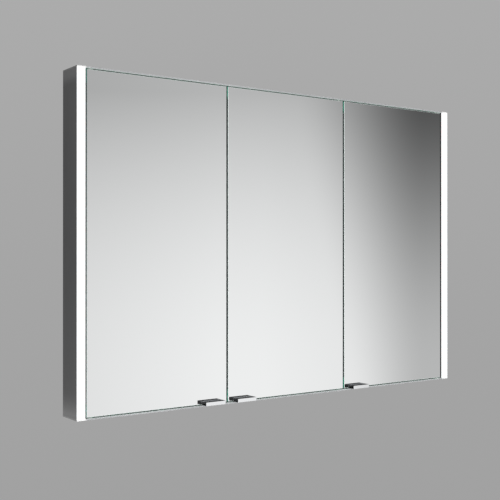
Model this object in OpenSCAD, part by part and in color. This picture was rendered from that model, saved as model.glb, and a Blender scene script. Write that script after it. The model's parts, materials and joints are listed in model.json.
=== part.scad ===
// Wall-hung mirror cabinet with three frameless mirror doors, edge-lit side strips and three bays.
// Origin: centre of the wall face. +X to the right, -Y towards the room, +Z up. Millimetres.

/* [Cabinet] */
// Overall width across both light strips
cabinet_w = 1050; // [900:10:1200]
// Overall height
cabinet_h = 700; // [620:10:800]
// Overall depth from the wall to the face of the light strips
cabinet_d = 68; // [68:1:90]
// Thickness of each side panel
side_t = 1.5; // [1.2:0.1:2]
// Thickness of the top and bottom panels
deck_t = 2.5; // [2.5:0.1:4]
// Thickness of the back panel
back_t = 2; // [2:0.1:3]
// Thickness of the partitions between the bays
partition_t = 5; // [5:0.1:6]
// How far the partitions stand back from the door faces
partition_back = 22; // [20:1:26]

/* [Light] */
// Width of a light strip and of the hollow side behind it
strip_w = 18; // [17:0.5:24]
// How far the diffuser stands proud of the doors
strip_proud = 3.6; // [2:0.1:4]
// Thickness of the diffuser's front
diffuser_t = 4.6; // [4.2:0.1:6]
// Thickness of the diffuser where it laps over the side panel's front edge
lap_t = 1; // [0.8:0.1:2]
// Depth of the aluminium light channel
channel_d = 26; // [22:1:30]
// Wall of the aluminium light channel
channel_t = 1.4; // [1:0.1:1.8]
// Distance from one LED to the next
led_pitch = 25; // [20:1:40]

/* [Doors] */
// Thickness of each of the two mirrors in a door
mirror_t = 3; // [2.5:0.1:3]
// Width of the ground chamfer round each mirror's outer face
arris = 0.8; // [0.3:0.1:1]
// Gap between the doors
door_gap = 4.2; // [4:0.1:6]
// Gap between a light strip and the door beside it
side_gap = 4.7; // [4:0.1:6]
// Gap above and below the doors
head_gap = 2; // [1.8:0.1:4]
// Pivot axis, in from the hinged edge
pivot_in = 10; // [9:0.5:11]
// Pivot axis, behind the door face
pivot_back = 9; // [8.5:0.5:9.5]
// Radius of the pivot pins
pin_r = 2; // [1.5:0.1:2.5]
// Running clearance of the pivot pins
pin_clear = 0.06; // [0.02:0.01:0.1]

/* [Handles] */
// Length of a handle
handle_l = 50; // [30:1:80]
// How far a handle stands out from the door
handle_out = 18; // [10:1:30]
// Height of a handle
handle_h = 6.5; // [5:0.5:10]
// Distance from the free edge of the door to the handle
handle_inset = 14; // [5:1:40]

/* [Shelves] */
// Thickness of the glass shelves
shelf_t = 5; // [4:0.5:8]
// Radius of the shelf pegs
peg_r = 2.5; // [2:0.1:3.5]
// Length of the shelf pegs in the bay
peg_l = 8; // [6:1:12]

/* [Wall fixing] */
// Distance from each side to the wall screws
fixing_in_x = 85; // [60:5:100]
// Distance from the top and bottom to the wall screws
fixing_in_z = 50; // [35:5:80]
// Radius of the wall screw holes
fixing_r = 3; // [2:0.5:4]

/* [Hidden] */
$fn = 48;
hw = cabinet_w / 2;
hh = cabinet_h / 2;
body_d = cabinet_d - strip_proud;
face_y = -body_d;
lap_y = lap_t - cabinet_d;
seat_y = diffuser_t - cabinet_d;
bay_w = hw - strip_w;
deck_z = hh - deck_t;
eps = 0.01;

door_w = (2 * bay_w - 2 * side_gap - 2 * door_gap) / 3;
door_top = deck_z - head_gap;
door_t = 2 * mirror_t;
door_back_y = face_y + door_t;
step = door_w + door_gap;
part_x = step / 2;
part_front_y = face_y + partition_back;
pivot_y = face_y + pivot_back;

chan_w = strip_w - 2 * side_t;
chan_x = -hw + side_t;
chan_mid_x = -hw + strip_w / 2;
chan_base_y = face_y + channel_d;
leg_t = 1.2;
leg_l = 7;
leg_gap = 0.1;
board_w = 10;
board_t = 1;
board_end = 15;
chip = 3.5;
chip_t = 1;
led_n = floor((cabinet_h - 2 * board_end - 4 * chip) / led_pitch);

wire_r = 1.2;
wire_hole_r = 2.5;
wire_y = -14;
wire_z = deck_z - 5.5;
wire_tip = 10;
lead_in = 5;
board_gap = 0.2;

bracket_l = 18;
bracket_w = 12;
bracket_t = 2;
bracket_y = -28;
screw_r = 1.5;
screw_hole_r = 1.8;
head_r = 2.8;
head_h = 1.5;
skin = 0.8;

fixing_x = hw - fixing_in_x;
fixing_z = hh - fixing_in_z;

plate_w = 44;
plate_t = 3;

peg_shank_r = 2;
peg_hole_r = 2.3;
peg_in = 2;
peg_hole_d = 2.2;
shelf_side = 1.5;
shelf_front_y = part_front_y + 2;
shelf_back_y = -back_t - 1;
shelf_z = 2 * deck_z / 6;
peg_front_y = shelf_front_y + 6;
peg_rear_y = shelf_back_y - 7;

block_l = 30;
block_over = 8;
block_t = 7;
block_h = 26;
block_rise = 0.2;
bush_r = 4;
bush_hole_r = 4.3;
flange_r = 6;
flange_gap = 0.1;
flange_t = head_gap - block_rise - flange_gap;
pin_in = 20;
pin_seat = 0.3;

strike_w = 16;
strike_t = 1;
catch_w = 18;
catch_h = 21;
catch_d = 15;
catch_in = 16;
catch_gap = 0.2;
magnet_r = 4;
magnet_hole_r = 4.3;
magnet_l = 6;
magnet_out = 1;

web_t = 1.2;
pad_t = 1.2;
jaw_t = 4.5;
grub_pitch = 30;
grub_gap = 0.3;

service_h = 35;
cover_t = 1;
cover_side = 0.5;
cover_y = part_front_y + 2;
cover_z = deck_z - service_h;
cover_flange = 12;
cover_screw_x = 110;
driver_l = 150;
driver_d = 22;
driver_h = 22;
driver_x = -20;
driver_z = deck_z - 18;
ear_l = 10;
ear_t = 2;
terminal_l = 18;
terminal_h = 14;

grommet_x = 88;
grommet_r = 7;
grommet_hole_r = 7.3;
grommet_flange_r = 11;
grommet_bore_r = 4;
grommet_flange_t = 2.5;
grommet_z = deck_z - 20;

switch_x = 125;
switch_z = deck_z - 18;
bezel_r = 10;
bezel_t = 1.2;
switch_r = 8;
switch_hole_r = 8.3;
switch_d = 14;
switch_wall = 1.5;
button_r = 6.2;
button_out = 3.5;
button_l = 10;
button_dish = 0.6;
button_rim = 2;

// ---- helpers ----
module both() { children(); mirror([1, 0, 0]) children(); }
module ends() { children(); mirror([0, 0, 1]) children(); }
module box(a, b) { translate(a) cube(b - a); }
module rod_x(p, r, l) { translate(p) rotate([0, 90, 0]) cylinder(r = r, h = l); }
module rod_y(p, r, l) { translate(p) rotate([-90, 0, 0]) cylinder(r = r, h = l); }
module rod_z(p, r, l) { translate(p) cylinder(r = r, h = l); }

// A screw with its head above z = 0 and its shank below.
module screw(l) {
    cylinder(r = head_r, h = head_h);
    translate([0, 0, -l]) cylinder(r = screw_r, h = l + eps);
}

// Peg positions on one wall of a bay.
module at_pegs() {
    for (z = [-shelf_z, shelf_z], y = [peg_front_y, peg_rear_y]) translate([0, y, z - peg_r]) children();
}

// ---- side panels ----
module side_outer() {
    color("#8d9094") box([-hw, lap_y, -deck_z], [-hw + side_t, 0, deck_z]);
}

module side_inner() {
    x0 = -bay_w - side_t;
    color("#c9cbcd") difference() {
        box([x0, seat_y, -deck_z], [-bay_w, -back_t, deck_z]);
        at_pegs() rod_x([x0 - eps, 0, 0], peg_hole_r, side_t + 2 * eps);
        rod_x([x0 - eps, wire_y, wire_z], wire_hole_r, side_t + 2 * eps);
        ends() rod_x([x0 - eps, bracket_y, deck_z - bracket_l + bracket_w / 2],
            screw_hole_r, side_t + 2 * eps);
    }
}

// ---- decks, back and partitions ----
module deck() {
    difference() {
        box([-hw, -cabinet_d, deck_z], [hw, 0, hh]);
        both() for (x = [bay_w - bracket_l + bracket_w / 2,
                part_x + partition_t / 2 + bracket_l - bracket_w / 2])
            rod_z([x, bracket_y, deck_z - eps], screw_hole_r, deck_t - skin);
        for (x = pivot_xs) rod_z([x, pivot_y, deck_z - eps], bush_hole_r, deck_t + 2 * eps);
    }
}

pivot_xs = [-step - door_w / 2 + pivot_in, door_w / 2 - pivot_in, step + door_w / 2 - pivot_in];

module top_panel() { color("#b9bcc0") deck(); }
module bottom_panel() { color("#b9bcc0") mirror([0, 0, 1]) deck(); }

module back_panel() {
    color("#d5d7d9") difference() {
        box([-hw + side_t, -back_t, -deck_z], [hw - side_t, 0, deck_z]);
        both() ends() rod_y([fixing_x, -back_t - eps, fixing_z], fixing_r, back_t + 2 * eps);
        rod_y([grommet_x, -back_t - eps, grommet_z], grommet_hole_r, back_t + 2 * eps);
        both() rod_y([cover_screw_x, -back_t - eps, cover_z - cover_flange / 2],
            screw_hole_r, back_t - skin);
    }
}

module partition() {
    x0 = part_x - partition_t / 2;
    x1 = part_x + partition_t / 2;
    color("#c9cbcd") difference() {
        box([x0, part_front_y, -deck_z], [x1, -back_t, deck_z]);
        at_pegs() rod_x([x0 - eps, 0, 0], peg_hole_r, peg_hole_d);
        at_pegs() rod_x([x1 + eps - peg_hole_d, 0, 0], peg_hole_r, peg_hole_d);
        rod_x([x0 - eps, wire_y, wire_z], wire_hole_r, partition_t + 2 * eps);
        ends() rod_x([x1 + eps - partition_t + skin, bracket_y, deck_z - bracket_l + bracket_w / 2],
            screw_hole_r, partition_t - skin);
    }
}

// ---- brackets, screws and wall plates ----
// An angle bracket in a corner: one arm along +X, one along -Z.
module bracket() {
    o = bracket_l - bracket_w / 2;
    difference() {
        union() {
            box([0, -bracket_w / 2, -bracket_t], [bracket_l, bracket_w / 2, 0]);
            box([0, -bracket_w / 2, -bracket_l], [bracket_t, bracket_w / 2, 0]);
        }
        rod_z([o, 0, -bracket_t - eps], screw_hole_r, bracket_t + 2 * eps);
        rod_x([-eps, 0, -o], screw_hole_r, bracket_t + 2 * eps);
    }
}

module at_brackets() {
    both() ends() {
        translate([-bay_w, bracket_y, deck_z]) children();
        translate([part_x + partition_t / 2, bracket_y, deck_z]) children();
    }
}

module corner_brackets() { color("#aeb1b5") at_brackets() bracket(); }

module carcass_screws() {
    o = bracket_l - bracket_w / 2;
    color("#c4c7ca") {
        at_brackets() {
            translate([o, 0, -bracket_t]) rotate([180, 0, 0]) screw(bracket_t + deck_t - 2 * skin);
            translate([bracket_t, 0, -o]) rotate([0, 90, 0]) screw(bracket_t + side_t);
        }
        both() translate([cover_screw_x, -back_t - cover_t, cover_z - cover_flange / 2])
            rotate([90, 0, 0]) screw(cover_t + back_t - 1.5 * skin);
    }
}

module hanger_plates() {
    color("#aeb1b5") both() ends() difference() {
        translate([fixing_x, -back_t - plate_t / 2, fixing_z])
            cube([plate_w, plate_t, plate_w], center = true);
        rod_y([fixing_x, -back_t - plate_t - eps, fixing_z], fixing_r, plate_t + 2 * eps);
    }
}

// ---- light strips ----
module light_channel() {
    z = deck_z;
    color("#a2a5a9") difference() {
        box([chan_x, seat_y, -z], [chan_x + chan_w, chan_base_y, z]);
        box([chan_x + channel_t, seat_y - eps, -z - eps],
            [chan_x + chan_w - channel_t, chan_base_y - channel_t, z + eps]);
        rod_y([chan_mid_x, chan_base_y - channel_t - eps, wire_z], wire_hole_r, channel_t + 2 * eps);
    }
}

board_y = chan_base_y - channel_t - board_t;

module led_board() {
    color("#eceee9") box([chan_mid_x - board_w / 2, board_y, -hh + board_end],
        [chan_mid_x + board_w / 2, board_y + board_t, hh - board_end]);
}

module led_chips() {
    color("#f5e08a") both() for (i = [0:led_n])
        translate([chan_mid_x, board_y - chip_t / 2, (i - led_n / 2) * led_pitch])
            cube([chip, chip_t, chip], center = true);
}

module diffuser() {
    x0 = chan_x + channel_t + leg_gap;
    x1 = chan_x + chan_w - channel_t - leg_gap;
    z = deck_z - leg_gap;
    color("#ffffff") union() {
        box([-hw, -cabinet_d, -deck_z], [-hw + strip_w, lap_y, deck_z]);
        box([-hw + side_t, lap_y - eps, -deck_z], [-hw + strip_w, seat_y, deck_z]);
        box([x0, seat_y - eps, -z], [x0 + leg_t, seat_y + leg_l, z]);
        box([x1 - leg_t, seat_y - eps, -z], [x1, seat_y + leg_l, z]);
    }
}

// ---- electrics ----
module led_driver() {
    x0 = driver_x - driver_l / 2;
    y0 = -back_t - driver_d;
    color("#f0f0ec") union() {
        box([x0, y0, driver_z - driver_h / 2], [x0 + driver_l, -back_t, driver_z + driver_h / 2]);
        box([x0 - ear_l, -back_t - ear_t, driver_z - driver_h / 4],
            [x0 + driver_l + ear_l, -back_t, driver_z + driver_h / 4]);
        box([x0 + driver_l - eps, y0 + ear_t, driver_z - terminal_h / 2],
            [x0 + driver_l + terminal_l, -back_t - 2 * ear_t, driver_z + terminal_h / 2]);
    }
}

module driver_cover() {
    x = part_x - partition_t / 2 - cover_side;
    color("#d5d7d9") difference() {
        union() {
            box([-x, cover_y, cover_z], [x, cover_y + cover_t, deck_z - cover_side]);
            box([-x, cover_y, cover_z], [x, -back_t, cover_z + cover_t]);
            box([-x, -back_t - cover_t, cover_z - cover_flange], [x, -back_t, cover_z + cover_t]);
        }
        rod_y([switch_x, cover_y - eps, switch_z], switch_hole_r, cover_t + 2 * eps);
        both() rod_y([cover_screw_x, -back_t - cover_t - eps, cover_z - cover_flange / 2],
            screw_hole_r, cover_t + 2 * eps);
    }
}

// Each lead leaves the driver, passes the partition and the side and ends on its LED board.
module led_wire(x_start) {
    tip_y = board_y - wire_r - board_gap;
    rod_x([-wire_x, wire_y, wire_z], wire_r, wire_x - x_start);
    translate([-wire_x, wire_y, wire_z]) sphere(r = wire_r);
    rod_y([-wire_x, tip_y, wire_z], wire_r, wire_y - tip_y);
    translate([-wire_x, tip_y, wire_z]) sphere(r = wire_r);
    rod_z([-wire_x, tip_y, wire_z - wire_tip], wire_r, wire_tip);
    translate([-x_start, wire_y, wire_z]) sphere(r = wire_r);
    rod_z([-x_start, wire_y, driver_z + driver_h / 2], wire_r, wire_z - driver_z - driver_h / 2);
}

wire_x = -chan_mid_x;

module led_wires() {
    color("#e8e8e8") {
        union() led_wire(driver_l / 2 - driver_x - lead_in);
        mirror([1, 0, 0]) union() led_wire(driver_l / 2 + driver_x - lead_in);
    }
}

module cable_grommet() {
    color("#26282a") difference() {
        union() {
            rod_y([grommet_x, -back_t - grommet_flange_t, grommet_z], grommet_flange_r, grommet_flange_t);
            rod_y([grommet_x, -back_t - eps, grommet_z], grommet_r, back_t + eps);
        }
        rod_y([grommet_x, -back_t - grommet_flange_t - eps, grommet_z],
            grommet_bore_r, back_t + grommet_flange_t + 2 * eps);
    }
}

module switch_housing() {
    y0 = cover_y - bezel_t;
    color("#3a3d40") difference() {
        union() {
            rod_y([switch_x, y0, switch_z], bezel_r, bezel_t);
            rod_y([switch_x, cover_y - eps, switch_z], switch_r, switch_d);
        }
        rod_y([switch_x, y0 - eps, switch_z], switch_r - switch_wall, switch_d);
    }
}

module switch_button() {
    y0 = cover_y - bezel_t - button_out;
    color("#e6e8ea") difference() {
        rod_y([switch_x, y0, switch_z], button_r, button_l);
        rod_y([switch_x, y0 - eps, switch_z], button_r - button_rim, button_dish);
    }
}

// ---- shelves ----
module shelf_side_bay(z) {
    color("#cfe6dc") box([-bay_w + shelf_side, shelf_front_y, z],
        [-part_x - partition_t / 2 - shelf_side, shelf_back_y, z + shelf_t]);
}

module shelf_middle_bay(z) {
    x = part_x - partition_t / 2 - shelf_side;
    color("#cfe6dc") box([-x, shelf_front_y, z], [x, shelf_back_y, z + shelf_t]);
}

module peg() {
    rod_x([0, 0, 0], peg_r, peg_l);
    rod_x([-peg_in, 0, 0], peg_shank_r, peg_in + eps);
}

module shelf_pegs() {
    color("#b9bcc0") both() {
        translate([-bay_w, 0, 0]) at_pegs() peg();
        translate([part_x + partition_t / 2, 0, 0]) at_pegs() peg();
        translate([part_x - partition_t / 2, 0, 0]) at_pegs() mirror([1, 0, 0]) peg();
    }
}

// ---- pivots and catches on the carcass ----
module pivot_bushings() {
    color("#e9e7df") for (x = pivot_xs) ends() difference() {
        union() {
            rod_z([x, pivot_y, deck_z - eps], bush_r, deck_t + eps);
            rod_z([x, pivot_y, deck_z - flange_t], flange_r, flange_t);
        }
        rod_z([x, pivot_y, deck_z - flange_t - eps], pin_r + pin_clear, flange_t + deck_t - skin);
    }
}

catch_y = door_back_y + strike_t + catch_gap;
catch_xs = [-step + door_w / 2 - catch_in, -door_w / 2 + catch_in, step - door_w / 2 + catch_in];
catch_z = deck_z - catch_h / 2;

module catch_housings() {
    color("#f0f0ec") for (x = catch_xs) difference() {
        box([x - catch_w / 2, catch_y + magnet_out, deck_z - catch_h],
            [x + catch_w / 2, catch_y + catch_d, deck_z]);
        rod_y([x, catch_y + magnet_out - eps, catch_z], magnet_hole_r, magnet_l - magnet_out + eps);
    }
}

module catch_magnets() {
    color("#77797c") for (x = catch_xs) rod_y([x, catch_y, catch_z], magnet_r, magnet_l);
}

// ---- doors, drawn as a right-hinged door centred on x = 0 ----
handle_x = -door_w / 2 + handle_inset;
jaw_y = door_back_y + pad_t;
grub_x = handle_x + handle_l / 2;
grub_z = -door_top + handle_h / 2;

// Section of a mirror of half-width w, its chamfered face at y = 0.
module mirror_section(w) {
    polygon([[-w, arris], [-w + arris, 0], [w - arris, 0], [w, arris], [w, mirror_t], [-w, mirror_t]]);
}

module mirror_sheet() {
    intersection() {
        translate([0, 0, -door_top]) linear_extrude(2 * door_top) mirror_section(door_w / 2);
        translate([-door_w / 2, 0, 0]) rotate([0, 90, 0]) linear_extrude(door_w) mirror_section(door_top);
    }
}

module front_mirror() { color("#dfe5e8") translate([0, face_y, 0]) mirror_sheet(); }
module rear_mirror() { color("#d3dade") translate([0, door_back_y, 0]) mirror([0, 1, 0]) mirror_sheet(); }

// A bar in front, a web under the glass and a jaw behind it.
module handle() {
    x1 = handle_x + handle_l;
    color("#d9dcde") difference() {
        box([handle_x, face_y - handle_out, -door_top - web_t], [x1, jaw_y + jaw_t, -door_top + handle_h]);
        box([handle_x - eps, face_y, -door_top], [x1 + eps, jaw_y, -door_top + handle_h + eps]);
        for (s = [-1, 1])
            rod_y([grub_x + s * grub_pitch / 2, jaw_y - eps, grub_z], screw_r + grub_gap, jaw_t + 2 * eps);
    }
}

module handle_pad() {
    color("#3a3d40")
        box([handle_x, door_back_y, -door_top], [handle_x + handle_l, jaw_y, -door_top + handle_h]);
}

module handle_grubs() {
    color("#aeb1b5") for (s = [-1, 1])
        rod_y([grub_x + s * grub_pitch / 2, jaw_y, grub_z], screw_r, jaw_t - grub_gap);
}

module pivot_blocks() {
    x1 = door_w / 2 - pivot_in + block_over;
    color("#b9bcc0") ends() difference() {
        box([x1 - block_l, door_back_y, door_top - block_h],
            [x1, door_back_y + block_t, door_top + block_rise]);
        rod_z([door_w / 2 - pivot_in, pivot_y, door_top - pin_in],
            pin_r + pin_seat, pin_in + block_rise + eps);
    }
}

module pivot_pins() {
    color("#8f9296") ends()
        rod_z([door_w / 2 - pivot_in, pivot_y, door_top - pin_in], pin_r, pin_in + head_gap + skin);
}

module strike() {
    color("#9a9da0") translate([-door_w / 2 + catch_in, door_back_y + strike_t / 2, catch_z])
        cube([strike_w, strike_t, strike_w], center = true);
}

// Places a door part in the left, middle or right opening.
module in_left() { translate([-step, 0, 0]) mirror([1, 0, 0]) children(); }
module in_right() { translate([step, 0, 0]) children(); }

side_outer();  // side_outer_left
mirror([1, 0, 0]) side_outer();  // side_outer_right
side_inner();  // side_inner_left
mirror([1, 0, 0]) side_inner();  // side_inner_right
top_panel();
bottom_panel();
back_panel();
mirror([1, 0, 0]) partition();  // partition_left
partition();  // partition_right
corner_brackets();
carcass_screws();
hanger_plates();
light_channel();  // light_channel_left
mirror([1, 0, 0]) light_channel();  // light_channel_right
led_board();  // led_board_left
mirror([1, 0, 0]) led_board();  // led_board_right
led_chips();
diffuser();  // diffuser_left
mirror([1, 0, 0]) diffuser();  // diffuser_right
led_driver();
driver_cover();
led_wires();
cable_grommet();
switch_housing();
switch_button();
shelf_side_bay(-shelf_z);  // shelf_left_lower
shelf_side_bay(shelf_z);  // shelf_left_upper
shelf_middle_bay(-shelf_z);  // shelf_middle_lower
shelf_middle_bay(shelf_z);  // shelf_middle_upper
mirror([1, 0, 0]) shelf_side_bay(-shelf_z);  // shelf_right_lower
mirror([1, 0, 0]) shelf_side_bay(shelf_z);  // shelf_right_upper
shelf_pegs();
pivot_bushings();
catch_housings();
catch_magnets();
in_left() front_mirror();  // left_front_mirror
in_left() rear_mirror();  // left_rear_mirror
in_left() handle();  // left_handle
in_left() handle_pad();  // left_handle_pad
in_left() handle_grubs();  // left_handle_grubs
in_left() pivot_blocks();  // left_pivot_blocks
in_left() pivot_pins();  // left_pivot_pins
in_left() strike();  // left_strike
front_mirror();  // middle_front_mirror
rear_mirror();  // middle_rear_mirror
handle();  // middle_handle
handle_pad();  // middle_handle_pad
handle_grubs();  // middle_handle_grubs
pivot_blocks();  // middle_pivot_blocks
pivot_pins();  // middle_pivot_pins
strike();  // middle_strike
in_right() front_mirror();  // right_front_mirror
in_right() rear_mirror();  // right_rear_mirror
in_right() handle();  // right_handle
in_right() handle_pad();  // right_handle_pad
in_right() handle_grubs();  // right_handle_grubs
in_right() pivot_blocks();  // right_pivot_blocks
in_right() pivot_pins();  // right_pivot_pins
in_right() strike();  // right_strike
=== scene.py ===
"""Looks, light and camera for the wall-hung mirror cabinet with lit sides. Metres, in the part's frame."""

import json
import math

import bmesh
import bpy
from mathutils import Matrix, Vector


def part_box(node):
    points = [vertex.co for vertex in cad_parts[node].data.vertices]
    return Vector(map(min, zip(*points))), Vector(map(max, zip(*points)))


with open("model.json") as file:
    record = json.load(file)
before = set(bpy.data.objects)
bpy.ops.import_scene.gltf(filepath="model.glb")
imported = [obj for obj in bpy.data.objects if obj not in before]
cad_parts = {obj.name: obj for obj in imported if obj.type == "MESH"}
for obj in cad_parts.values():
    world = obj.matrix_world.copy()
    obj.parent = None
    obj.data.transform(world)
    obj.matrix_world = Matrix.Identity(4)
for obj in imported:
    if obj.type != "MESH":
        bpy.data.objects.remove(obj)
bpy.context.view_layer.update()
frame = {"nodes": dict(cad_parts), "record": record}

MM = 0.001

CASE_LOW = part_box("bottom_panel")[0]
CASE_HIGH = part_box("top_panel")[1]
HEIGHT = CASE_HIGH.z - CASE_LOW.z
HALF_H = HEIGHT / 2
GLASS_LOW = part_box("left_front_mirror")[0]
GLASS_EDGE_X = abs(GLASS_LOW.x)
BAR_FRONT_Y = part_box("left_handle")[0].y

# The camera's place, as multiples of the cabinet's height from the front left foot of its case.
EYE_IN_HEIGHTS = Vector((-1.055, -2.344, 0.476))
VIEW_TURN_DEG = 35.11
VIEW_TILT_DEG = 0.11
LENS_MM = 64.84
SENSOR_MM = 36.0

# The middle of the cabinet's back, which is the frame's origin.
WALL_CENTRE = Vector((0, 0, 0))

# The softboxes: name, place, width and height, and power in watts. Each one faces the wall centre.
SOFTBOXES = [
    ("key", (-2.6, -2.8, 2.6), (2.0, 1.4), 45),
    ("fill", (2.8, -2.6, 1.6), (2.0, 1.6), 22),
    ("top", (0.0, -0.6, 3.2), (2.4, 1.6), 30),
    ("low", (-0.6, -1.9, -1.2), (2.2, 0.8), 18),
    ("back", (0.4, 3.2, 2.2), (2.4, 1.6), 30),
]

# The bright card that the mirrors reflect. Angles in degrees: above level, and right of straight ahead.
CARD_TONE = 0.91
CARD_LOSS = 0.42
CARD_FOOT_DEG = -9.0
CARD_HEAD_DEG = 10.0
CARD_LEFT_DEG = (24.0, 33.0)
CARD_LEFT_SHARE = 0.87
CARD_RIGHT_DEG = (36.0, 41.0)
CARD_RIGHT_SHARE = 0.94

# The grey flag to the right of the card. Where it starts leans with height, where it is full is upright.
FLAG_FOOT_DEG = -8.0
FLAG_HEAD_DEG = 12.0
FLAG_FOOT_TONE = 0.50
FLAG_HEAD_TONE = 0.06
FLAG_LEAN_TOP_DEG = 8.5
FLAG_START_LOW_DEG = 41.1
FLAG_START_HIGH_DEG = 37.8
FLAG_FULL_DEG = 46.2
FLAG_FADE_DEG = 54.0
FLAG_GONE_DEG = 66.0

FLOOR_DROP = 1.25
FLOOR_RADIUS = 2.8
FLOOR_SIDES = 96

# The stretch of a noise's values over which colour and gloss change, and the narrower one for clouding.
NOISE_LOW = 0.3
NOISE_HIGH = 0.7
CLOUD_LOW = 0.35
CLOUD_HIGH = 0.65

# How much of a face's normal lies along an axis when it begins to count as turned that way, and fully does.
TURNED_LOW = 0.45
TURNED_HIGH = 0.75

# Edge radius in millimetres, by slot, for the nodes whose edges catch the light.
EDGE_MM = {
    "handle_chrome": 0.5,
    "opal_acrylic": 0.5,
    "anodised_dark": 0.25,
    "aluminium_satin": 0.3,
    "panel_satin": 0.25,
    "zinc_plate": 0.3,
    "white_plastic": 0.6,
    "shelf_glass": 0.5,
    "nickel_satin": 0.4,
    "strike_steel": 0.2,
    "button_plastic": 0.4,
}
EDGE_SEGMENTS = 2
SHARP_DEG = 50
JOIN_DISTANCE = 0.002 * MM


# ---------------------------------------------------------------- node helpers
def new_material(name):
    """An empty node material with its Principled shader joined to the output."""
    mat = bpy.data.materials.new(name)
    mat.use_nodes = True
    tree = mat.node_tree
    tree.nodes.clear()
    out = tree.nodes.new("ShaderNodeOutputMaterial")
    shader = tree.nodes.new("ShaderNodeBsdfPrincipled")
    tree.links.new(shader.outputs["BSDF"], out.inputs["Surface"])
    return mat, tree, shader, out


def second_shader(tree, roughness):
    """Another Principled shader, not a metal, for the faces that look different."""
    shader = tree.nodes.new("ShaderNodeBsdfPrincipled")
    shader.inputs["Roughness"].default_value = roughness
    return shader


def coordinates(tree, stretch=(1, 1, 1)):
    """The piece's own coordinates, stretched for brushed or drawn grain."""
    texcoord = tree.nodes.new("ShaderNodeTexCoord")
    mapping = tree.nodes.new("ShaderNodeMapping")
    mapping.inputs["Scale"].default_value = stretch
    tree.links.new(texcoord.outputs["Object"], mapping.inputs["Vector"])
    return mapping.outputs["Vector"]


def own_axis(tree, output, axis):
    """One component of the piece's own position ("Object") or own normal ("Normal")."""
    texcoord = tree.nodes.new("ShaderNodeTexCoord")
    split = tree.nodes.new("ShaderNodeSeparateXYZ")
    tree.links.new(texcoord.outputs[output], split.inputs["Vector"])
    return split.outputs[axis]


def own_size(tree, output, axis):
    """That component without its sign, so that it is alike on both sides of the cabinet."""
    return math_node(tree, "ABSOLUTE", own_axis(tree, output, axis))


def noise(tree, vector, scale, detail=4.0, roughness=0.55):
    """A noise texture's value, about 0.5 on average."""
    node = tree.nodes.new("ShaderNodeTexNoise")
    node.inputs["Scale"].default_value = scale
    node.inputs["Detail"].default_value = detail
    node.inputs["Roughness"].default_value = roughness
    tree.links.new(vector, node.inputs["Vector"])
    return node.outputs["Fac"]


def ramp(tree, value, low, high, low_color, high_color):
    """A smooth change from one colour to another as the value goes from low to high."""
    node = tree.nodes.new("ShaderNodeValToRGB")
    node.color_ramp.interpolation = "EASE"
    first, last = node.color_ramp.elements
    first.position, first.color = low, (*low_color, 1)
    last.position, last.color = high, (*high_color, 1)
    tree.links.new(value, node.inputs["Fac"])
    return node.outputs["Color"]


def span(tree, value, low, high, to_low, to_high, smooth=False):
    """Maps low..high to to_low..to_high, held at both ends."""
    node = tree.nodes.new("ShaderNodeMapRange")
    node.interpolation_type = "SMOOTHSTEP" if smooth else "LINEAR"
    node.inputs["From Min"].default_value = low
    node.inputs["From Max"].default_value = high
    node.inputs["To Min"].default_value = to_low
    node.inputs["To Max"].default_value = to_high
    tree.links.new(value, node.inputs["Value"])
    return node.outputs["Result"]


def noise_color(tree, value, low_color, high_color):
    """A colour that wanders between two with the noise."""
    return ramp(tree, value, NOISE_LOW, NOISE_HIGH, low_color, high_color)


def noise_span(tree, value, to_low, to_high):
    """A number that wanders between two with the noise."""
    return span(tree, value, NOISE_LOW, NOISE_HIGH, to_low, to_high)


def math_node(tree, operation, a, b=None):
    """A calculation on one or two values, each a number or another node's output."""
    node = tree.nodes.new("ShaderNodeMath")
    node.operation = operation
    for socket, value in zip(node.inputs, (a, b)):
        if value is None:
            continue
        if isinstance(value, (int, float)):
            socket.default_value = value
        else:
            tree.links.new(value, socket)
    return node.outputs["Value"]


def mix_colors(tree, factor, a, b):
    """Colour a where the factor is 0, colour b where it is 1."""
    node = tree.nodes.new("ShaderNodeMix")
    node.data_type = "RGBA"
    colors = [s for s in node.inputs if s.type == "RGBA"]
    for socket, value in zip(colors, (a, b)):
        if isinstance(value, tuple):
            socket.default_value = (*value, 1)
        else:
            tree.links.new(value, socket)
    tree.links.new(factor, node.inputs["Factor"])
    return next(s for s in node.outputs if s.type == "RGBA")


def mix_shaders(tree, factor, a, b):
    """Shader a where the factor is 0, shader b where it is 1."""
    node = tree.nodes.new("ShaderNodeMixShader")
    tree.links.new(factor, node.inputs["Fac"])
    tree.links.new(a.outputs[0], node.inputs[1])
    tree.links.new(b.outputs[0], node.inputs[2])
    return node


def add_bump(tree, shader, height, strength, distance):
    """Fine relief from a noise's height."""
    node = tree.nodes.new("ShaderNodeBump")
    node.inputs["Strength"].default_value = strength
    node.inputs["Distance"].default_value = distance
    tree.links.new(height, node.inputs["Height"])
    tree.links.new(node.outputs["Normal"], shader.inputs["Normal"])


# ---------------------------------------------------------------- masks by own place and own normal
def turned(tree, axis):
    """1 on faces that face along the axis, either way."""
    return span(tree, own_size(tree, "Normal", axis), TURNED_LOW, TURNED_HIGH, 0, 1)


def low_down(tree):
    """1 at the cabinet's foot, 0 at its head."""
    return span(tree, own_axis(tree, "Object", "Z"), -HALF_H, HALF_H, 1, 0)


def beside_light(tree):
    """1 on the glass edges next to the light strips, where painted light and painted shade from the strips
    go.
    """
    aside = own_size(tree, "Object", "X")
    return span(tree, aside, GLASS_EDGE_X - 2 * MM, GLASS_EDGE_X - 1 * MM, 0, 1)


def over_light(tree):
    """1 on the top and bottom panels beyond the doors, at the ends of the light strips, where their painted
    light goes.
    """
    aside = own_size(tree, "Object", "X")
    return span(tree, aside, GLASS_EDGE_X + 2 * MM, GLASS_EDGE_X + 4 * MM, 0, 1)


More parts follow.
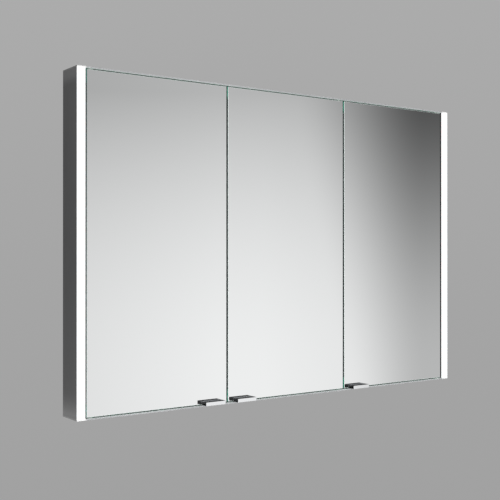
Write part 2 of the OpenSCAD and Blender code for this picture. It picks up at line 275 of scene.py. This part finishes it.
# ---------------------------------------------------------------- materials
def metal(name, color, roughness, stretch=(1, 1, 1), scale=900.0, bump=0.04, tint=0.06):
    """Anodised, plated or brushed metal: fine grain in the surface, soft clouding in the gloss."""
    spread = 0.06
    mat, tree, shader, _ = new_material(name)
    fine = noise(tree, coordinates(tree, stretch), scale, 6.0, 0.6)
    cloud = noise(tree, coordinates(tree), 9.0, 3.0)
    darker = tuple(c * (1 - tint) for c in color)
    lighter = tuple(min(1, c * (1 + tint)) for c in color)
    tone = ramp(tree, cloud, CLOUD_LOW, CLOUD_HIGH, darker, lighter)
    tree.links.new(tone, shader.inputs["Base Color"])
    shader.inputs["Metallic"].default_value = 1.0
    brushed = noise_span(tree, fine, roughness - spread, roughness + spread)
    clouded = noise_span(tree, cloud, -spread / 2, spread / 2)
    tree.links.new(math_node(tree, "ADD", brushed, clouded), shader.inputs["Roughness"])
    add_bump(tree, shader, fine, bump, 0.2 * MM)
    return mat


def plastic(name, color, roughness, scale=1400.0, bump=0.08, coat=0.0):
    """Moulded or coated surface with a fine orange-peel grain."""
    mat, tree, shader, _ = new_material(name)
    vector = coordinates(tree)
    fine = noise(tree, vector, scale, 4.0)
    cloud = noise(tree, vector, 14.0, 3.0)
    darker = tuple(c * 0.95 for c in color)
    tree.links.new(noise_color(tree, cloud, darker, color), shader.inputs["Base Color"])
    tree.links.new(noise_span(tree, fine, roughness - 0.05, roughness + 0.07), shader.inputs["Roughness"])
    shader.inputs["Coat Weight"].default_value = coat
    add_bump(tree, shader, fine, bump, 0.1 * MM)
    return mat


def side_painted_light(tree):
    """How much painted light lifts the side above its plain grey: at the foot, the head, low down and in
    front.
    """
    foot_tall = 60 * MM
    head_full, head_tall = 12 * MM, 36 * MM
    low_light_top = 100 * MM
    front_deep = 45 * MM
    # Every term here is painted light on the sheet: bright foot and head ends, and a glow low down and at
    # the front.
    height = own_axis(tree, "Object", "Z")
    foot = math_node(tree, "POWER", span(tree, height, foot_tall - HALF_H, -HALF_H, 0, 1), 2.0)
    head = span(tree, height, HALF_H - head_tall, HALF_H - head_full, 0, 0.30, smooth=True)
    lower = math_node(tree, "POWER", span(tree, height, low_light_top, -HALF_H, 0, 1), 1.8)
    front = span(tree, own_axis(tree, "Object", "Y"), CASE_LOW.y, CASE_LOW.y + front_deep, 0.07, 0)
    drift = math_node(tree, "ADD", math_node(tree, "MULTIPLY", lower, 0.30), front)
    return math_node(tree, "ADD", math_node(tree, "ADD", foot, head), drift)


def side_metal():
    """Satin grey anodised sheet, drawn along its length, with painted light making it lighter at its ends
    and towards the front.
    """
    mat, tree, shader, _ = new_material("side_anodised_grey")
    drawn = noise(tree, coordinates(tree, (1, 1, 0.03)), 1500.0, 6.0, 0.65)
    cloud = noise(tree, coordinates(tree, (1, 1, 0.3)), 12.0, 3.0)
    plain = noise_color(tree, cloud, (0.118, 0.119, 0.121), (0.134, 0.135, 0.137))
    # Painted light: the plain grey is mixed towards a pale grey where the terms above are high.
    tone = mix_colors(tree, side_painted_light(tree), plain, (0.434, 0.435, 0.437))
    tree.links.new(tone, shader.inputs["Base Color"])
    shader.inputs["Metallic"].default_value = 1.0
    tree.links.new(noise_span(tree, drawn, 0.30, 0.42), shader.inputs["Roughness"])
    add_bump(tree, shader, drawn, 0.05, 0.15 * MM)
    return mat


def polished_edge(tree):
    """The mirror's edge: nearly black green glass, with painted light making it greener at its ends and
    paler beside the light strips.
    """
    end_glow_from, end_glow_full = 36 * MM, 22 * MM
    edge = second_shader(tree, 0.12)
    edge.inputs["IOR"].default_value = 1.52
    edge.inputs["Specular IOR Level"].default_value = 0.3
    edge.inputs["Coat Weight"].default_value = 0.2
    beside = beside_light(tree)
    streak = noise(tree, coordinates(tree, (1, 1, 0.01)), 700.0, 2.0)
    deep = noise_color(tree, streak, (0.004, 0.020, 0.016), (0.008, 0.034, 0.028))
    # Painted light from the strips: the edge beside them is paler, and paler still towards the foot.
    painted_strip_glow = mix_colors(tree, low_down(tree), (0.025, 0.050, 0.045), (0.14, 0.20, 0.19))
    middle = mix_colors(tree, beside, deep, painted_strip_glow)
    # The glass's own green, made bright near the top and bottom ends by painted light.
    green = mix_colors(tree, beside, (0.006, 0.42, 0.27), (0.10, 0.42, 0.32))
    height = own_size(tree, "Object", "Z")
    end_glow_mask = span(tree, height, HALF_H - end_glow_from, HALF_H - end_glow_full, 0, 1, smooth=True)
    tree.links.new(mix_colors(tree, end_glow_mask, middle, green), edge.inputs["Base Color"])
    return edge


def ground_chamfer(tree):
    """The mirror's pale matt chamfer, with painted shade beside the light strips, darker towards the head.
    """
    ground = second_shader(tree, 0.38)
    grit = noise(tree, coordinates(tree), 2600.0, 4.0)
    pale = noise_color(tree, grit, (0.80, 0.88, 0.86), (0.88, 0.95, 0.93))
    # Painted shade beside the strips, lighter towards the foot.
    painted_shade = mix_colors(tree, low_down(tree), (0.24, 0.28, 0.27), (0.70, 0.76, 0.74))
    tree.links.new(mix_colors(tree, beside_light(tree), pale, painted_shade), ground.inputs["Base Color"])
    return ground


def mirror_glass():
    """Silvered faces, ground chamfers and polished edges, told apart by how far they face the front."""
    mat, tree, silver, out = new_material("mirror_silvered_glass")
    silver.inputs["Metallic"].default_value = 1.0
    silver.inputs["Base Color"].default_value = (0.93, 0.94, 0.94, 1)
    haze = noise(tree, coordinates(tree), 6.0, 5.0, 0.6)
    tree.links.new(span(tree, haze, 0.35, 0.75, 0.0, 0.018), silver.inputs["Roughness"])
    # The normal's Y is 0 on the edges, 0.7 on the chamfers and 1 on the silvered faces.
    facing = own_size(tree, "Normal", "Y")
    is_chamfer = span(tree, facing, 0.30, 0.40, 0, 1)
    is_face = span(tree, facing, 0.88, 0.94, 0, 1)
    cut = mix_shaders(tree, is_chamfer, polished_edge(tree), ground_chamfer(tree))
    whole = mix_shaders(tree, is_face, cut, silver)
    tree.links.new(whole.outputs["Shader"], out.inputs["Surface"])
    return mat


def painted_reflection_top(tree):
    """The handle's flat top as a painted reflection: black at the bar's front, lighter towards the glass.
    """
    painted_reflection = second_shader(tree, 0.3)
    painted_reflection.inputs["Specular IOR Level"].default_value = 0.0
    depth = span(tree, own_axis(tree, "Object", "Y"), BAR_FRONT_Y, GLASS_LOW.y, 0, 1)
    # Painted reflection: the tone runs from black at the front to grey at the back.
    tone = ramp(tree, depth, 0.22, 1.0, (0.004, 0.004, 0.005), (0.27, 0.28, 0.29))
    tree.links.new(tone, painted_reflection.inputs["Base Color"])
    return painted_reflection


def handle_chrome():
    """Bright chrome in front, a painted dark reflection on the ends, and a flat top of painted reflection
    with a trace of real shine.
    """
    top_cover = 0.97
    mat, tree, chrome, out = new_material("handle_chrome")
    polish = noise(tree, coordinates(tree), 700.0, 5.0, 0.6)
    tree.links.new(noise_span(tree, polish, 0.04, 0.09), chrome.inputs["Roughness"])
    chrome.inputs["Metallic"].default_value = 1.0
    # Painted dark reflection: the end faces get a near-black base colour.
    tone = mix_colors(tree, turned(tree, "X"), (0.88, 0.89, 0.90), (0.026, 0.027, 0.028))
    tree.links.new(tone, chrome.inputs["Base Color"])
    add_bump(tree, chrome, polish, 0.006, 0.2 * MM)
    is_top = span(tree, own_axis(tree, "Normal", "Z"), TURNED_LOW, TURNED_HIGH, 0, top_cover)
    whole = mix_shaders(tree, is_top, chrome, painted_reflection_top(tree))
    tree.links.new(whole.outputs["Shader"], out.inputs["Surface"])
    return mat


def pale_coat(tree):
    """The powder coat on the top and bottom panels' inner faces."""
    coat = second_shader(tree, 0.42)
    grain = noise(tree, coordinates(tree), 1800.0, 4.0)
    tone = noise_color(tree, grain, (0.78, 0.81, 0.80), (0.85, 0.88, 0.87))
    tree.links.new(tone, coat.inputs["Base Color"])
    return coat


def deck_tone(tree):
    """Satin aluminium, with painted light from the strips making it nearly white in front of them, and
    darker grey on the end faces.
    """
    cloud = noise(tree, coordinates(tree), 9.0, 3.0)
    satin = ramp(tree, cloud, CLOUD_LOW, CLOUD_HIGH, (0.45, 0.46, 0.47), (0.51, 0.52, 0.53))
    is_front = span(tree, own_axis(tree, "Normal", "Y"), -TURNED_HIGH, -TURNED_LOW, 1, 0)
    # Painted light: the front faces beside the strips are pushed to near white.
    in_painted_glow = math_node(tree, "MULTIPLY", over_light(tree), is_front)
    satin_with_painted_glow = mix_colors(tree, in_painted_glow, satin, (0.97, 0.97, 0.97))
    end_tone = mix_colors(tree, low_down(tree), (0.19, 0.19, 0.19), (0.34, 0.34, 0.34))
    return mix_colors(tree, turned(tree, "X"), satin_with_painted_glow, end_tone)


def deck_aluminium():
    """The top and bottom panels: satin anodised sheet outside, powder coat inside."""
    mat, tree, shell, out = new_material("aluminium_deck")
    drawn = noise(tree, coordinates(tree, (0.02, 1, 1)), 1400.0, 6.0, 0.6)
    tree.links.new(deck_tone(tree), shell.inputs["Base Color"])
    shell.inputs["Metallic"].default_value = 0.3
    tree.links.new(noise_span(tree, drawn, 0.38, 0.50), shell.inputs["Roughness"])
    add_bump(tree, shell, drawn, 0.04, 0.2 * MM)
    # Height times upward normal is negative on the faces that look into the cabinet.
    outward = math_node(tree, "MULTIPLY", own_axis(tree, "Object", "Z"), own_axis(tree, "Normal", "Z"))
    is_inside = span(tree, outward, -0.6 * HALF_H, -0.3 * HALF_H, 1, 0)
    whole = mix_shaders(tree, is_inside, shell, pale_coat(tree))
    tree.links.new(whole.outputs["Shader"], out.inputs["Surface"])
    return mat


def side_lining():
    """Powder coat inside the bays, with painted shade making it near black at the very front."""
    shade_from, shade_to = GLASS_LOW.y + 9 * MM, GLASS_LOW.y + 10 * MM
    mat, tree, shader, _ = new_material("side_lining")
    grain = noise(tree, coordinates(tree), 1800.0, 4.0)
    coat = noise_color(tree, grain, (0.66, 0.67, 0.68), (0.70, 0.71, 0.72))
    in_painted_shade = span(tree, own_axis(tree, "Object", "Y"), shade_from, shade_to, 1, 0)
    # Painted shade: the front strip, in the shadow of the narrow gap by the door, is near black.
    tone = mix_colors(tree, in_painted_shade, coat, (0.045, 0.046, 0.048))
    tree.links.new(tone, shader.inputs["Base Color"])
    tree.links.new(noise_span(tree, grain, 0.37, 0.49), shader.inputs["Roughness"])
    add_bump(tree, shader, grain, 0.10, 0.1 * MM)
    return mat


def shelf_glass():
    """Clear float glass with green polished edges."""
    mat, tree, clear, out = new_material("shelf_float_glass")
    clear.inputs["Base Color"].default_value = (0.93, 0.985, 0.965, 1)
    clear.inputs["Transmission Weight"].default_value = 1.0
    clear.inputs["IOR"].default_value = 1.5
    haze = noise(tree, coordinates(tree), 20.0, 4.0)
    tree.links.new(noise_span(tree, haze, 0.0, 0.03), clear.inputs["Roughness"])
    edge = second_shader(tree, 0.10)
    edge.inputs["Coat Weight"].default_value = 0.5
    streak = noise(tree, coordinates(tree, (0.05, 1, 1)), 700.0, 3.0)
    green = noise_color(tree, streak, (0.03, 0.20, 0.15), (0.08, 0.36, 0.28))
    tree.links.new(green, edge.inputs["Base Color"])
    is_face = span(tree, own_size(tree, "Normal", "Z"), 0.4, 0.9, 0, 1)
    whole = mix_shaders(tree, is_face, edge, clear)
    tree.links.new(whole.outputs["Shader"], out.inputs["Surface"])
    return mat


def opal_acrylic():
    """Lit opal diffuser: white body, even glow with the faintest drift along its length."""
    drift_low, drift_high = 0.2, 0.8
    mat, tree, shader, _ = new_material("opal_acrylic_lit")
    drift = noise(tree, coordinates(tree, (1, 1, 0.2)), 18.0, 2.0)
    body = ramp(tree, drift, drift_low, drift_high, (0.46, 0.465, 0.47), (0.50, 0.50, 0.50))
    glow = ramp(tree, drift, drift_low, drift_high, (0.985, 0.992, 1.0), (1.0, 1.0, 1.0))
    tree.links.new(body, shader.inputs["Base Color"])
    tree.links.new(glow, shader.inputs["Emission Color"])
    shader.inputs["Emission Strength"].default_value = 0.72
    shader.inputs["Roughness"].default_value = 0.28
    shader.inputs["Subsurface Weight"].default_value = 0.2
    return mat


def led_phosphor():
    """Glowing yellow phosphor with a fine speckle."""
    mat, tree, shader, _ = new_material("led_phosphor")
    speck = noise(tree, coordinates(tree), 2500.0, 2.0)
    tone = noise_color(tree, speck, (0.95, 0.78, 0.22), (1.0, 0.9, 0.5))
    tree.links.new(tone, shader.inputs["Base Color"])
    shader.inputs["Emission Color"].default_value = (1.0, 0.96, 0.88, 1)
    shader.inputs["Emission Strength"].default_value = 4.0
    shader.inputs["Roughness"].default_value = 0.2
    return mat


def plaster_floor():
    """Pale smooth floor with a barely visible mottle."""
    mat, tree, shader, _ = new_material("floor_pale")
    mottle = noise(tree, coordinates(tree), 1.3, 4.0)
    tone = noise_color(tree, mottle, (0.72, 0.72, 0.715), (0.76, 0.76, 0.755))
    tree.links.new(tone, shader.inputs["Base Color"])
    shader.inputs["Roughness"].default_value = 0.75
    return mat


MATERIALS = {
    "anodised_dark": side_metal(),
    "panel_satin": plastic("panel_powder_coat", (0.70, 0.71, 0.72), 0.42, scale=1800.0, bump=0.10),
    "aluminium_satin": deck_aluminium(),
    "zinc_plate": metal("zinc_plate", (0.60, 0.62, 0.64), 0.34, tint=0.15),
    "steel_screw": metal("steel_screw", (0.66, 0.67, 0.68), 0.24),
    "channel_aluminium": metal("channel_aluminium", (0.64, 0.65, 0.66), 0.36,
                               stretch=(1, 1, 0.02), scale=1400.0),
    "board_white": plastic("board_solder_mask", (0.86, 0.87, 0.84), 0.30, scale=900.0, bump=0.03),
    "led_phosphor": led_phosphor(),
    "opal_acrylic": opal_acrylic(),
    "white_plastic": plastic("white_moulded", (0.83, 0.83, 0.81), 0.40),
    "wire_pvc": plastic("wire_pvc", (0.80, 0.80, 0.79), 0.36, scale=600.0, bump=0.04),
    "black_rubber": plastic("black_rubber", (0.022, 0.022, 0.024), 0.62, scale=900.0, bump=0.20),
    "black_plastic": plastic("black_moulded", (0.035, 0.035, 0.038), 0.38, scale=1200.0, bump=0.12),
    "button_plastic": plastic("button_gloss", (0.74, 0.75, 0.76), 0.18, scale=900.0, bump=0.02, coat=0.4),
    "shelf_glass": shelf_glass(),
    "nickel_satin": metal("nickel_satin", (0.66, 0.65, 0.62), 0.24, stretch=(1, 1, 0.05), scale=1300.0),
    "nylon_bush": plastic("nylon", (0.80, 0.79, 0.74), 0.34),
    "ferrite": metal("ferrite", (0.16, 0.16, 0.17), 0.48, scale=700.0, bump=0.12),
    "mirror_glass": mirror_glass(),
    "handle_chrome": handle_chrome(),
    "strike_steel": metal("strike_steel", (0.55, 0.56, 0.57), 0.28, stretch=(1, 1, 0.04), scale=1300.0),
}

# The inner sides share the back panel's slot, and differ from it only by painted shade at the front.
SIDE_LINING = side_lining()


def soften_edges(node, radius):
    """Joins the mesh's split corners, then rounds its sharp edges. The CAD mesh itself is unchanged."""
    weld = node.modifiers.new("join", "WELD")
    weld.merge_threshold = JOIN_DISTANCE
    bevel = node.modifiers.new("edge", "BEVEL")
    bevel.width = radius
    bevel.segments = EDGE_SEGMENTS
    bevel.limit_method = "ANGLE"
    bevel.angle_limit = math.radians(SHARP_DEG)
    bevel.use_clamp_overlap = True
    bevel.harden_normals = True


def dress_nodes():
    """Gives every CAD node its slot's material and rounds the edges that show."""
    for part in frame["record"]["subparts"]:
        node = frame["nodes"][part["node"]]
        slot = part["material_slot"]
        is_lined = part["node"].startswith("side_inner")
        node.data.materials.clear()
        node.data.materials.append(SIDE_LINING if is_lined else MATERIALS[slot])
        if slot in EDGE_MM:
            soften_edges(node, EDGE_MM[slot] * MM)


# ---------------------------------------------------------------- studio
def make_floor():
    """A large pale disc well below the cabinet."""
    mesh = bpy.data.meshes.new("floor")
    shape = bmesh.new()
    bmesh.ops.create_circle(shape, cap_ends=True, segments=FLOOR_SIDES, radius=FLOOR_RADIUS)
    shape.to_mesh(mesh)
    shape.free()
    floor = bpy.data.objects.new("floor", mesh)
    floor.location = (0, 0, CASE_LOW.z - FLOOR_DROP)
    mesh.materials.append(plaster_floor())
    bpy.context.scene.collection.objects.link(floor)


def in_degrees(tree, angle):
    """An angle from radians to degrees."""
    return math_node(tree, "MULTIPLY", angle, 180 / math.pi)


def world_direction(tree):
    """A world direction's elevation, its turn to the right of straight ahead, and its Y component."""
    texcoord = tree.nodes.new("ShaderNodeTexCoord")
    split = tree.nodes.new("ShaderNodeSeparateXYZ")
    tree.links.new(texcoord.outputs["Generated"], split.inputs["Vector"])
    x, y, z = split.outputs
    ahead = math_node(tree, "MULTIPLY", y, -1.0)
    elevation = in_degrees(tree, math_node(tree, "ARCSINE", z))
    turn = in_degrees(tree, math_node(tree, "ARCTAN2", x, ahead))
    return elevation, turn, y


def bright_card(tree, elevation, turn):
    """The card in front of the doors: bright low down, falling off upwards and a little to both sides."""
    climb = span(tree, elevation, CARD_FOOT_DEG, CARD_HEAD_DEG, 0.0, 1.0)
    loss = math_node(tree, "MULTIPLY", math_node(tree, "POWER", climb, 2.0), CARD_LOSS)
    card = math_node(tree, "SUBTRACT", CARD_TONE, loss)
    left = span(tree, turn, *CARD_LEFT_DEG, CARD_LEFT_SHARE, 1.0)
    right = span(tree, turn, *CARD_RIGHT_DEG, 1.0, CARD_RIGHT_SHARE)
    card = math_node(tree, "MULTIPLY", card, left)
    return math_node(tree, "MULTIPLY", card, right)


def grey_flag(tree, elevation, turn):
    """The flag's tone, darker upwards, and a mask that is 1 inside it."""
    tone = span(tree, elevation, FLAG_FOOT_DEG, FLAG_HEAD_DEG, FLAG_FOOT_TONE, FLAG_HEAD_TONE, smooth=True)
    start = span(tree, elevation, FLAG_FOOT_DEG, FLAG_LEAN_TOP_DEG, FLAG_START_LOW_DEG, FLAG_START_HIGH_DEG)
    past_start = math_node(tree, "SUBTRACT", turn, start)
    edge_width = math_node(tree, "SUBTRACT", FLAG_FULL_DEG, start)
    into_edge = math_node(tree, "DIVIDE", past_start, edge_width)
    edge_in = span(tree, into_edge, 0.0, 1.0, 0.0, 1.0, smooth=True)
    edge_out = span(tree, turn, FLAG_FADE_DEG, FLAG_GONE_DEG, 1.0, 0.0, smooth=True)
    return tone, math_node(tree, "MULTIPLY", edge_in, edge_out)


def make_world():
    """Soft studio surround: the card and the flag in front, one plain pale tone behind the cabinet."""
    world = bpy.data.worlds.new("studio")
    bpy.context.scene.world = world
    world.use_nodes = True
    tree = world.node_tree
    tree.nodes.clear()
    out = tree.nodes.new("ShaderNodeOutputWorld")
    background = tree.nodes.new("ShaderNodeBackground")
    tree.links.new(background.outputs["Background"], out.inputs["Surface"])

    elevation, turn, y = world_direction(tree)
    flag_tone, in_flag = grey_flag(tree, elevation, turn)
    front = mix_colors(tree, in_flag, bright_card(tree, elevation, turn), flag_tone)
    dim_tone, pale_tone = 0.34, 0.46
    plain = span(tree, elevation, -40.0, 60.0, dim_tone, pale_tone, smooth=True)
    is_front = span(tree, y, -0.35, 0.0, 1.0, 0.0, smooth=True)
    tree.links.new(mix_colors(tree, is_front, plain, front), background.inputs["Color"])


def soft_light(name, place, size, power):
    """A large softbox that faces the cabinet and isn't itself seen in the mirrors."""
    data = bpy.data.lights.new(name, "AREA")
    data.shape = "RECTANGLE"
    data.size, data.size_y = size
    data.energy = power
    light = bpy.data.objects.new(name, data)
    light.location = place
    light.rotation_euler = (WALL_CENTRE - Vector(place)).to_track_quat("-Z", "Y").to_euler()
    light.visible_glossy = False
    bpy.context.scene.collection.objects.link(light)


def make_camera():
    """Nearly level view from the left, from just below the height of the cabinet's middle."""
    data = bpy.data.cameras.new("camera")
    data.lens = LENS_MM
    data.sensor_width = SENSOR_MM
    camera = bpy.data.objects.new("camera", data)
    turn = math.radians(VIEW_TURN_DEG)
    tilt = math.radians(VIEW_TILT_DEG)
    look = Vector((math.sin(turn) * math.cos(tilt), math.cos(turn) * math.cos(tilt), math.sin(tilt)))
    camera.location = CASE_LOW + EYE_IN_HEIGHTS * HEIGHT
    camera.rotation_euler = look.to_track_quat("-Z", "Y").to_euler()
    bpy.context.scene.collection.objects.link(camera)
    bpy.context.scene.camera = camera


bpy.context.scene.view_settings.view_transform = "Standard"
make_camera()
dress_nodes()
make_floor()
make_world()
for softbox in SOFTBOXES:
    soft_light(*softbox)
